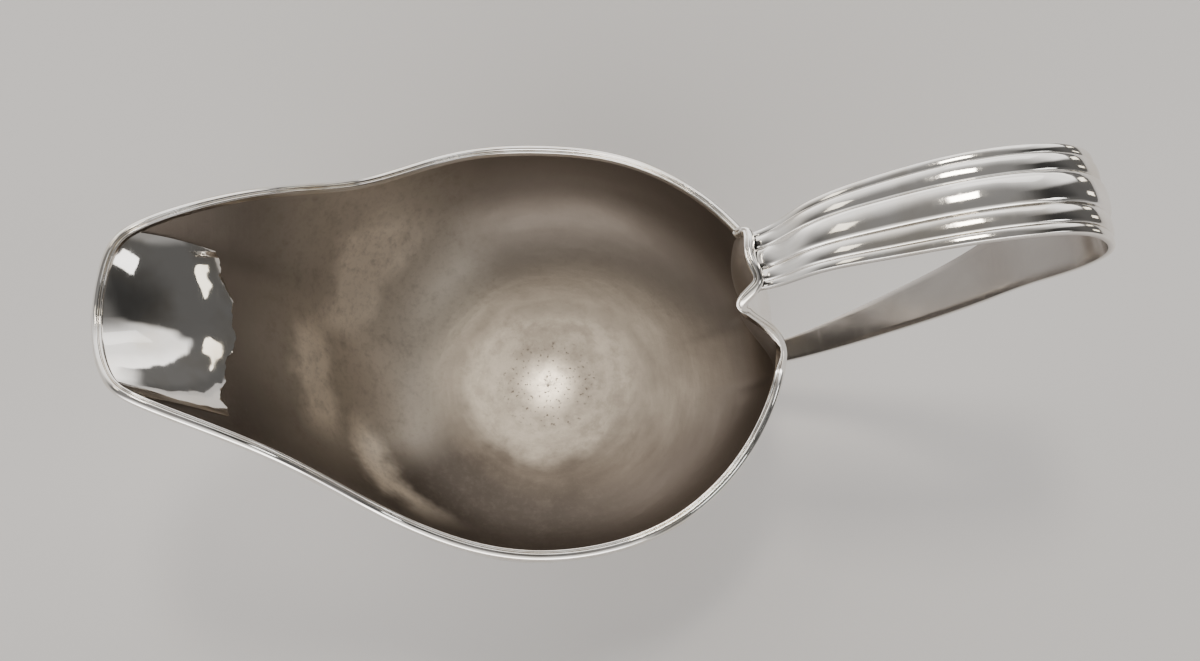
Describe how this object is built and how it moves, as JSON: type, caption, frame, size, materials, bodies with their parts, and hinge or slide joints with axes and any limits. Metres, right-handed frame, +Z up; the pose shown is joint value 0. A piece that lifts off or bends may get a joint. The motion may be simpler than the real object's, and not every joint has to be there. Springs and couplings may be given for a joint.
{
  "type": "gravy boat",
  "caption": "Footed silver gravy boat with a broad raised spout, a rim wire and a reeded strap handle that rises and loops back to the belly.",
  "frame": {"origin": "centre of the foot ring's resting face", "axes": "+Z up, -X along the spout, +X along the handle, Y across the bowl"},
  "size_m": [0.2054, 0.1002, 0.0944],
  "materials": {
    "bowl_silver": "old silver: bright outside, soft grey-brown satin inside",
    "liner_silver": "polished silver",
    "wire_silver": "polished silver",
    "handle_silver": "polished silver with dull grooves",
    "foot_silver": "polished silver",
    "ring_silver": "polished silver"
  },
  "bodies": {
    "root": {"bowl": "bowl_silver", "spout_liner": "liner_silver", "rim_wire": "wire_silver", "handle_strap": "handle_silver", "foot": "foot_silver", "foot_ring": "ring_silver"}
  },
  "joints": []
}
